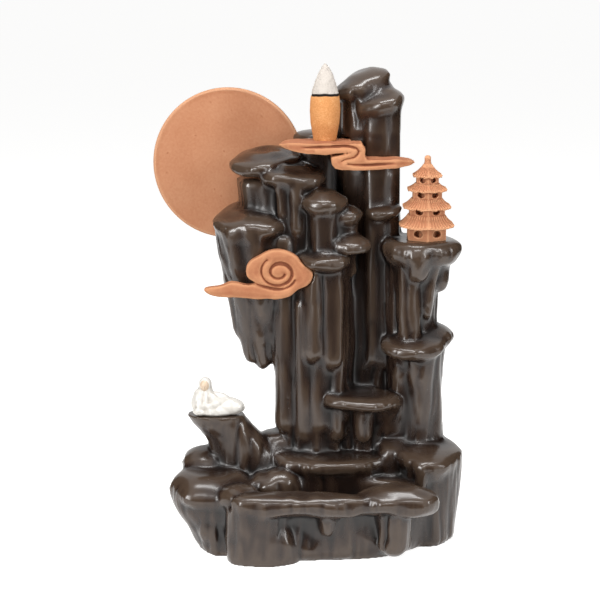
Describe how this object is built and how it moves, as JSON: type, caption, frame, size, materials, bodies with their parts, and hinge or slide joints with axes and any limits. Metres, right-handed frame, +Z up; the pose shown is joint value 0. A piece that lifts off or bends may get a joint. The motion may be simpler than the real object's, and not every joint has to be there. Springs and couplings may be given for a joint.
{
  "type": "backflow incense burner",
  "caption": "Tabletop backflow incense burner: a glazed ceramic mountain with ledges and a pool, dressed with a clay moon disc, clouds, pagoda and seated figure.",
  "frame": {"origin": "middle of the whole object's bounding box in X and Y, at the flat foot in Z", "axes": "+Z up, the pool and the spiral cloud face -Y, the moon is on the -X side"},
  "size_m": [0.1654, 0.1018, 0.248],
  "materials": {
    "mountain_glaze": "satin",
    "moon_clay": "matte",
    "cloud_clay": "matte",
    "pagoda_clay": "matte",
    "figure_glaze": "gloss",
    "incense": "matte"
  },
  "bodies": {
    "root": {"mountain": "mountain_glaze", "moon_disc": "moon_clay", "cloud_tray": "cloud_clay", "cloud_ornament": "cloud_clay", "pagoda": "pagoda_clay", "seated_figure": "figure_glaze", "incense_cone": "incense"}
  },
  "joints": []
}
